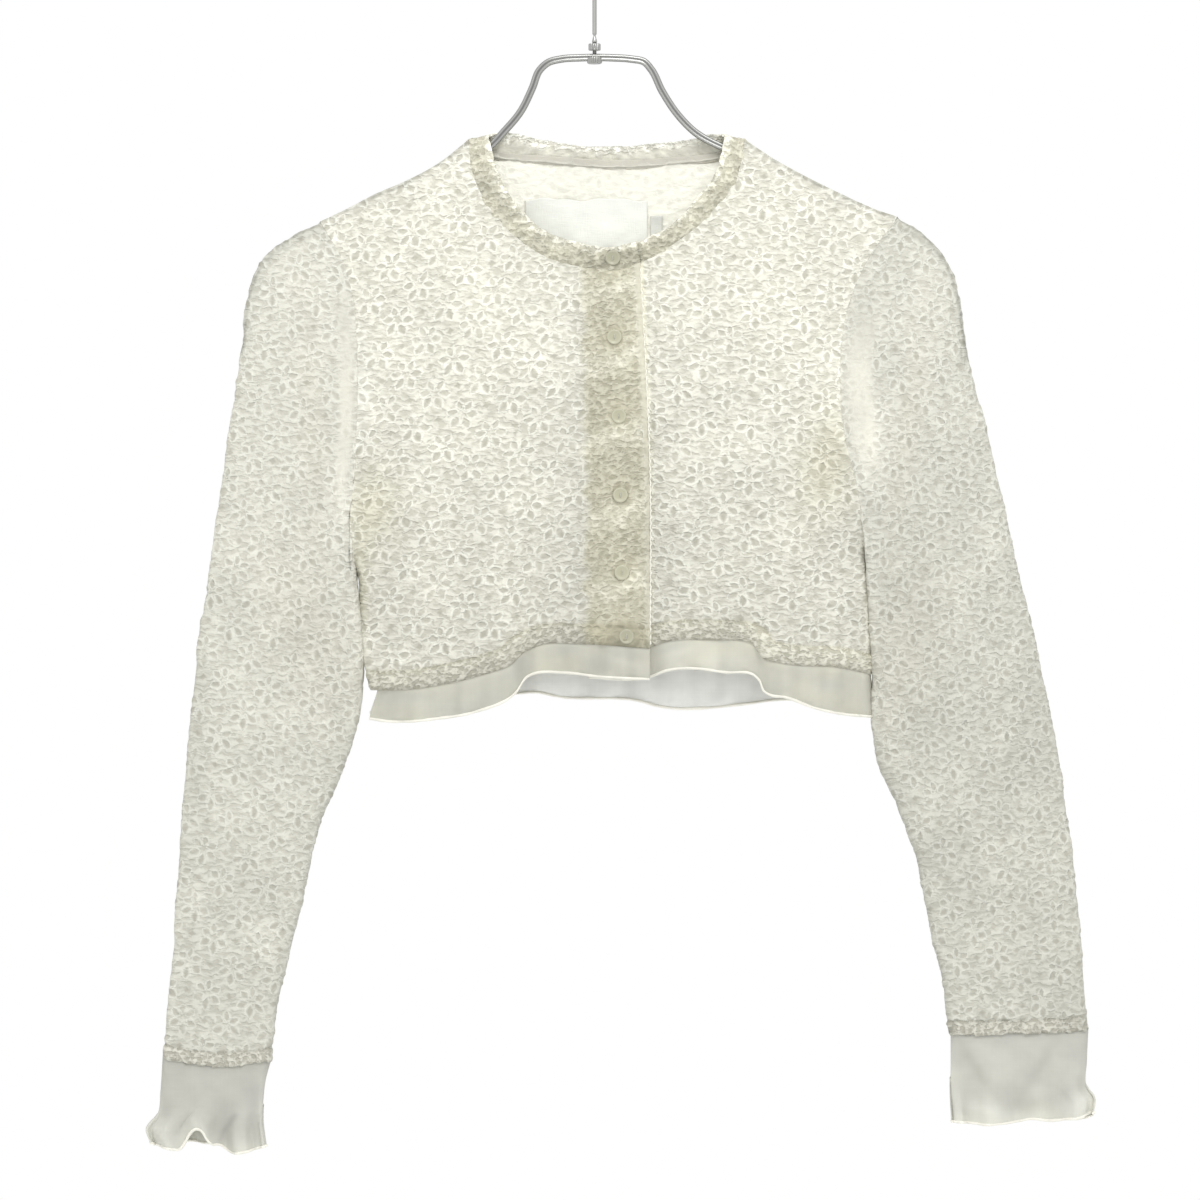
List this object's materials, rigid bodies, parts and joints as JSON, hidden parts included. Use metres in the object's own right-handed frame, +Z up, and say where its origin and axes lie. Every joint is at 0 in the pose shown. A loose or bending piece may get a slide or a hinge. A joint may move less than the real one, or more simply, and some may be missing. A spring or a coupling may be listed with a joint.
{
  "type": "cropped cardigan on a hanger",
  "caption": "Cropped long-sleeved cardigan of sheer flower-textured cloth with a round neck, button front, and chiffon cuffs and hem frill, buttoned up on a steel hanger.",
  "frame": {"origin": "inside of the hook's top, where a rail carries the hanger", "axes": "+Z up, +X to the viewer's right and the wearer's left, -Y out of the garment's front"},
  "size_m": [0.6268, 0.039, 0.8076],
  "materials": {
    "cloque": "sheer crinkled cloth with raised flowers, off-white",
    "chiffon": "plain sheer chiffon, off-white",
    "woven": "smooth woven tape, off-white",
    "button": "clear cream resin",
    "steel": "bright steel"
  },
  "bodies": {
    "root": {"front_right": "cloque", "front_left": "cloque", "back": "cloque", "sleeve_right": "cloque", "sleeve_left": "cloque", "neckband": "cloque", "frill_front_right": "chiffon", "frill_front_left": "chiffon", "frill_back": "chiffon", "cuff_right": "chiffon", "cuff_left": "chiffon", "neck_tape": "woven", "label": "woven", "size_tab": "woven", "button_1": "button", "button_2": "button", "button_3": "button", "button_4": "button", "button_5": "button", "button_6": "button", "hanger_bar": "steel", "hanger_hook": "steel", "hanger_nut": "steel", "hanger_clip": "steel"}
  },
  "joints": []
}
